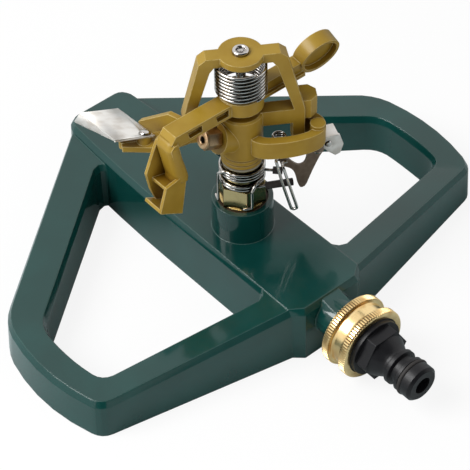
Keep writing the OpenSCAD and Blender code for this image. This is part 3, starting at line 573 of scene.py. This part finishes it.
def wire(name, path, diameter, sides=14):
    """A round wire along a path: circles across it, each carried along without twist, and
    the last ring at either end drawn in to a rounded tip."""
    tangent = np.gradient(path, axis=0)
    tangent /= np.linalg.norm(tangent, axis=1)[:, None]
    across = np.zeros_like(tangent)
    first = np.cross(tangent[0], (0, 0, 1) if abs(tangent[0][2]) < 0.9 else (1, 0, 0))
    across[0] = first / np.linalg.norm(first)
    for i in range(1, len(path)):
        n = across[i - 1] - tangent[i] * (across[i - 1] @ tangent[i])
        across[i] = n / np.linalg.norm(n)
    side = np.cross(tangent, across)
    reach = diameter / 2
    size = np.full(len(path), reach)
    size[[0, 1]] = size[[-1, -2]] = 0.55 * reach, 0.9 * reach
    turn = np.linspace(0, 2 * pi, sides, endpoint=False)[None, :, None]
    points = path[:, None] + size[:, None, None] * (
        np.cos(turn) * across[:, None] + np.sin(turn) * side[:, None])
    return new_object(name, grid_mesh(name, points, closed_v=True, caps=True))


def polar(radius, angle, z):
    """A point about the riser axis, from millimetres and degrees."""
    a = np.radians(angle)
    return np.stack(np.broadcast_arrays(
        RISER_X + MM * radius * np.cos(a), MM * radius * np.sin(a), MM * z + 0 * a), -1)


def helix(radius, start, end, foot, top):
    """Points about the riser axis, one in 8 degrees, that climb evenly from foot to top."""
    angle = np.linspace(start, end, int(abs(end - start) / 8) + 1)
    return polar(radius, angle, np.linspace(foot, top, len(angle)))


def arm_coil():
    """The arm's return spring: eight even turns between the hub and the crown."""
    half = 0.65
    path = helix(10.1, -3, -3 + 8 * 360, SPRING_FOOT / MM + half, SPRING_TOP / MM - half)
    stand_for(wire("arm_coil", path, WIRE, 12), "arm_spring")


def stop_collar(name, node, foot, coil_end, arm_way, arm_length, leg_at):
    """A collar of spring wire: a straight stop arm, two turns down the sleeve and a leg that
    drops beside the hexagon and turns in along the boss. Millimetres and degrees."""
    coil, pitch = 9.2, 1.45
    leg, boss = 11.34, 46.65
    last = leg_at - 720
    top = foot + (coil_end - last) / 360 * pitch
    way = radians(arm_way)
    start = polar(coil, coil_end, foot)
    arm = [start + t * arm_length * MM * np.array([cos(way), sin(way), 0]) for t in
           (1, 0.8, 0.6, 0.4, 0.2)]
    turns = helix(coil, coil_end, last, foot, top)
    legs = [polar(*p) for p in (
        (coil + 1, last - 9, top - 0.2), (leg - 0.2, last - 17, top - 1.6),
        (leg, last - 20, top - 3.4), (leg, last - 20, boss + 1.2),
        (leg, last - 23, boss + 0.2), (leg, last - 40, boss))]
    path = smooth_path(np.vstack([arm, turns, legs]), 260)
    stand_for(wire(name, path, WIRE), node)


def about_riser(points, reach, heading, turn, foot):
    """Points in metres, from millimetres in a frame that stands reach out along a heading, at
    that foot, and is turned."""
    a, t = radians(heading), radians(turn)
    spin = np.array([[cos(t), -sin(t), 0], [sin(t), cos(t), 0], [0, 0, 1]])
    stand = np.array([RISER_X + MM * reach * cos(a), MM * reach * sin(a), foot])
    return stand + MM * np.array(points) @ spin.T


def spoon_shield():
    """The spoon's front skin: level by level a straight run across the panel, a quarter circle
    round its right corner, and a short run back along the cheek. Its left edge stands free."""
    level = np.linspace(39.2, 17.2, 45)[:, None]
    front = np.interp(level, (17.2, 20, 36.3, 38.3, 39.2), (38.2, 37.9, 40.7, 39.7, 38.7))
    left = np.interp(level, (17.2, 39.2), (-2.4, -3.9))
    right = np.interp(level, (17.2, 22, 27, 36.5, 39.2), (5.0, 5.6, 5.7, 5.1, 3.6))
    corner = np.interp(level, (17.2, 39.2), (3.8, 2.2))
    bend = np.radians(np.linspace(0, 90, 17))[None, :]
    across = np.linspace(0, 1, 12, endpoint=False)[None, :]
    side = np.hstack([left + across * (right - corner - left),
                      right - corner + corner * np.sin(bend), right])
    out = np.hstack([front + 0 * across, front - corner + corner * np.cos(bend),
                     front - corner - 1.4])
    way, over = radians(ARM_TURN), radians(ARM_TURN + 90)
    points = np.stack([
        RISER_X + MM * (out * cos(way) + side * cos(over)),
        MM * (out * sin(way) + side * sin(over)),
        HUB_Z + MM * (level - ARM_DATUM + 0 * out)], -1)
    thing = new_object("spoon_shield", grid_mesh("spoon_shield", points))
    skin = thing.modifiers.new("skin_thickness", "SOLIDIFY")
    skin.thickness = 0.8 * MM
    skin.offset = 0
    ride_along(thing, "olive_enamel", "arm")


def lever_spring():
    """The small coil beside the trip loop: three turns and two straight ends."""
    coil, foot, top = 2.6, 0.65, 4.05
    angle = np.radians(np.linspace(-90, 990, 136))
    turns = np.stack([coil * np.cos(angle), coil * np.sin(angle),
                      np.linspace(foot, top, len(angle))], -1)
    ends = [[-7.6, -2.3, foot], [-5, -2.5, foot], [-3, -coil, foot]]
    tail = [[3, -coil, top], [5, -2.4, top], [6.4, -2.3, top]]
    points = np.vstack([ends, turns, tail]) + np.array([15.4, -2.4, 1.6])
    path = smooth_path(about_riser(points, 0, 0, 49, LOOP_Z), 240)
    stand_for(wire("lever_spring", path, FINE_WIRE, 12), "trip_spring")


def lever_hairpin():
    """The lever's wire: hooked on the plate's end, down to a tight bend and back up."""
    outer, inner = 4.15, 1.45
    top, tip = np.array([-18.6, -0.5, -5.6]), np.array([-13, -4.3, -30])
    side = np.array([2.4, -0.75, 0])
    corners = [
        [-13.2, outer, -10.2], [-15.6, outer + 0.05, -9.8], [-16.5, outer - 0.6, -9.2],
        [-17.1, 2.2, -8.2], [-17.4, 1.1, -6.6], [-17.9, 0.1, -5.6], [-18.2, -0.7, -5.8],
        [-18, -1.2, -6.9], (top + tip) / 2 + [0, -0.4, -0.6], tip,
        tip + side * 0.18 + [0, 0, -1], tip + side * 0.5 + [0, 0, -1.4],
        tip + side * 0.82 + [0, 0, -1], tip + side, top * 0.3 + tip * 0.7 + side,
        top * 0.8 + tip * 0.2 + side + [0, 0.4, 0], [-15, inner - 0.9, -9.4],
        [-14, inner, -9.2], [-12.4, inner, -9.6]]
    path = smooth_path(about_riser(corners, 31.2, 49, 67, LOOP_Z), 180)
    stand_for(wire("lever_hairpin", path, WIRE), "trip_hairpin")


def turned(name, node, profile, columns, place, relief=None, finish=None):
    """A profile of (radius, height) points in millimetres turned about an axis: each point goes
    round in a circle, less the relief in millimetres at its radius and angle, which is kept as
    the attribute groove, a mask for painted shade down the grooves. place gives the metres of
    (across, up, along) millimetres."""
    radius, along = np.array(profile, float).T
    angle = np.linspace(0, 2 * pi, columns, endpoint=False)
    reach = np.broadcast_to(radius[:, None], (len(radius), columns)).copy()
    closed = abs(profile[0][0] - profile[-1][0]) < 1e-9 and profile[0][0] > 0
    cut = relief(reach, angle) if relief else 0 * reach
    along = np.broadcast_to(along[:, None], reach.shape)
    points = place((reach - cut) * np.cos(angle), (reach - cut) * np.sin(angle), along)
    if closed:
        points, cut = points[:-1], cut[:-1]
    mesh = grid_mesh(name, points, closed_u=closed, closed_v=True)
    if relief:
        groove = mesh.attributes.new("groove", "FLOAT", "POINT")
        groove.data.foreach_set("value", (cut / cut.max()).astype(np.float32).ravel())
    work = bmesh.new()
    work.from_mesh(mesh)
    bmesh.ops.remove_doubles(work, verts=work.verts, dist=1e-7)
    bmesh.ops.recalc_face_normals(work, faces=work.faces)
    crease(work, 35)
    work.to_mesh(mesh)
    work.free()
    stand_for(new_object(name, mesh), node, finish)


def stepped(corners, spacing):
    """A profile with extra points along its straight runs, at most that far apart."""
    out = [corners[0]]
    for a, b in zip(corners, corners[1:]):
        count = max(1, int(np.ceil(np.hypot(b[0] - a[0], b[1] - a[1]) / spacing)))
        out += [tuple(np.array(a) + (np.array(b) - a) * k / count) for k in range(1, count + 1)]
    return out


def coupling_nut():
    """The coupling's nut: two knurled rims with a smooth sunk band between them. The knurl is
    even V grooves half as wide as their spacing, and it stops where the rims round over."""
    grooves, depth, rim = 84, 0.42, 16.2
    profile = stepped([
        (9.36, 0), (15.2, 0), (15.9, 0.2), (16.3, 0.6), (16.4, 1), (16.4, 3.5), (16.25, 3.8),
        (14.6, 4.1), (14.4, 4.5), (14.4, 9.5), (14.6, 9.9), (16.25, 10.2), (16.4, 10.5),
        (16.4, 13), (16.3, 13.4), (15.9, 13.8), (15.2, 14), (13.4, 14), (13.15, 13.7),
        (13.15, 2.6), (9.36, 2.6), (9.36, 0)], 1.2)

    def knurl(radius, angle):
        off_middle = np.abs((angle * grooves / (2 * pi)) % 1 - 0.5) * 2
        return depth * np.clip((0.5 - off_middle) / 0.3, 0, 1) * (radius > rim)

    def place(across, up, along):
        return np.stack([COUPLING_X + MM * along, MM * across, INLET_Z + MM * up], -1)

    turned(
        "coupling_nut", "inlet_coupling", profile, 12 * grooves, place, knurl, "coupling_brass")


def arm_pin():
    """The fulcrum pin: a plain shank and a rolled head, a raised ring round a dished middle."""
    head, top, foot = PIN_TOP / MM - 1.6, PIN_TOP / MM, PIN_FOOT / MM
    bend = np.linspace(0, pi, 13)
    ring = [(2.6 + 0.8 * np.cos(b), top - 0.75 + 0.75 * np.sin(b)) for b in bend]
    dish = [(1.6, top - 1.0), (1.2, top - 1.05), (1.0, top - 0.8), (0.5, top - 0.7),
            (0, top - 0.68)]
    profile = stepped([(0, foot), (2, foot), (2, head), (3.4, head)] + ring + dish, 1.5)

    def place(across, up, along):
        return np.stack([RISER_X + MM * across, MM * up, MM * along], -1)

    turned("arm_pin", "fulcrum_pin", profile, 64, place)


# The pieces that replace or join the CAD model's own

merged("base_frame", "cast_base", angle=14)
merged("head_body", "head_casting")
merged("hammer_arm", "arm_casting")
merged("bearing_nipple", "nipple_turned")
merged("hose_connector", "hose_plug")
rounded("main_nozzle", "jet_nozzle", 0.3 * MM, 2)
coupling_nut()
arm_pin()
arm_coil()
spoon_shield()
stop_collar(
    "upper_wire", "collar_upper", foot=60.65, coil_end=38, arm_way=43, arm_length=7.8, leg_at=-84)
stop_collar(
    "lower_wire", "collar_lower", foot=55.55, coil_end=0, arm_way=60.6, arm_length=15.4, leg_at=0)
lever_spring()
lever_hairpin()
rounded("deflector_plate", "deflector_sheet", 0.2 * MM, 3)
rounded("deflector_pin", "deflector_rivet", 0.15 * MM, 2)
rounded("trip_pin", "lever_pin", 0.15 * MM, 2)
merged("trip_plate", "lever_plate")
rounded("trip_shoe", "lever_shoe", 0.25 * MM, 3)

for node, thing in frame["nodes"].items():
    paint(thing, SLOT_OF[node])

# The studio
FLOOR_SIZE = 6.0  # side of the floor in metres
FLOOR_WHITE = 0.87  # how much of the floor is plain white to the camera
WORLD_LEVEL = 0.36  # how strongly the world lights the object


def white_floor():
    """Pale floor: lit as it is, and partly plain white to the camera, so that it keeps a
    shadow."""
    f = Finish("white_floor")
    camera, mirrored = f.light_path()
    paper = f.mix(f.noise(0.3), (0.86, 0.86, 0.86, 1), (0.88, 0.88, 0.88, 1))
    # to glossy rays the floor is a darker grey-green than the lit floor: a painted reflection on
    # the object's walls
    f.surface(Base_Color=f.mix(mirrored, paper, (0.46, 0.52, 0.53, 1)), Roughness=0.9)
    lit = Signal(f, f.shader.outputs[0])
    return f.shows(f.node("MixShader", {}, FLOOR_WHITE * camera, lit, f.node("Emission", {})))


def set_floor():
    """One square of floor at the foot of the object."""
    half = FLOOR_SIZE / 2
    mesh = bpy.data.meshes.new("floor")
    mesh.from_pydata(
        [(-half, -half, 0), (half, -half, 0), (half, half, 0), (-half, half, 0)], [],
        [(0, 1, 2, 3)])
    mesh.materials.append(white_floor())
    new_object("floor", mesh)


def dark_card(name, azimuths, elevations, distance):
    """A dark studio card: a patch of a sphere round the object, seen in reflections only."""
    a, e = np.meshgrid(np.radians(np.linspace(*azimuths, 17)),
                       np.radians(np.linspace(*elevations, 9)), indexing="ij")
    points = distance * np.stack([np.sin(a) * np.cos(e), -np.cos(a) * np.cos(e), np.sin(e)], -1)
    mesh = grid_mesh(name, points)
    f = Finish(name)
    mesh.materials.append(f.shows(f.node("Emission", {}, rgb(20, 30, 30))))
    card = new_object(name, mesh)
    card.visible_camera = card.visible_diffuse = card.visible_shadow = False
    card.visible_transmission = card.visible_volume_scatter = False


def set_world():
    """White to the camera and in reflections, a dimmer white where it lights the object."""
    world = bpy.data.worlds.new("studio")
    bpy.context.scene.world = world
    tree = Tree(world)
    camera, mirrored = tree.light_path()
    seen = tree.node("Math", {"operation": "MAXIMUM"}, camera, mirrored)
    back = tree.nodes["Background"]
    tree.feed(back.inputs["Color"], (1, 1, 1, 1))
    tree.feed(back.inputs["Strength"], tree.node("MapRange", {}, seen, 0, 1, WORLD_LEVEL, 1))


set_floor()
dark_card("far_card", azimuths=(225.2, 231.4), elevations=(46.4, 64), distance=2.9)
dark_card("camera_card", azimuths=(15, 135), elevations=(2, 78), distance=1.3)
set_world()
soft_box("key_box", azimuth=-22, elevation=48, distance=1.4, width=0.8, watts=20)
soft_box("fill_box", azimuth=100, elevation=35, distance=1.6, width=1.0, watts=4, glossy=False)
set_camera()

bpy.context.scene.view_settings.view_transform = "Standard"
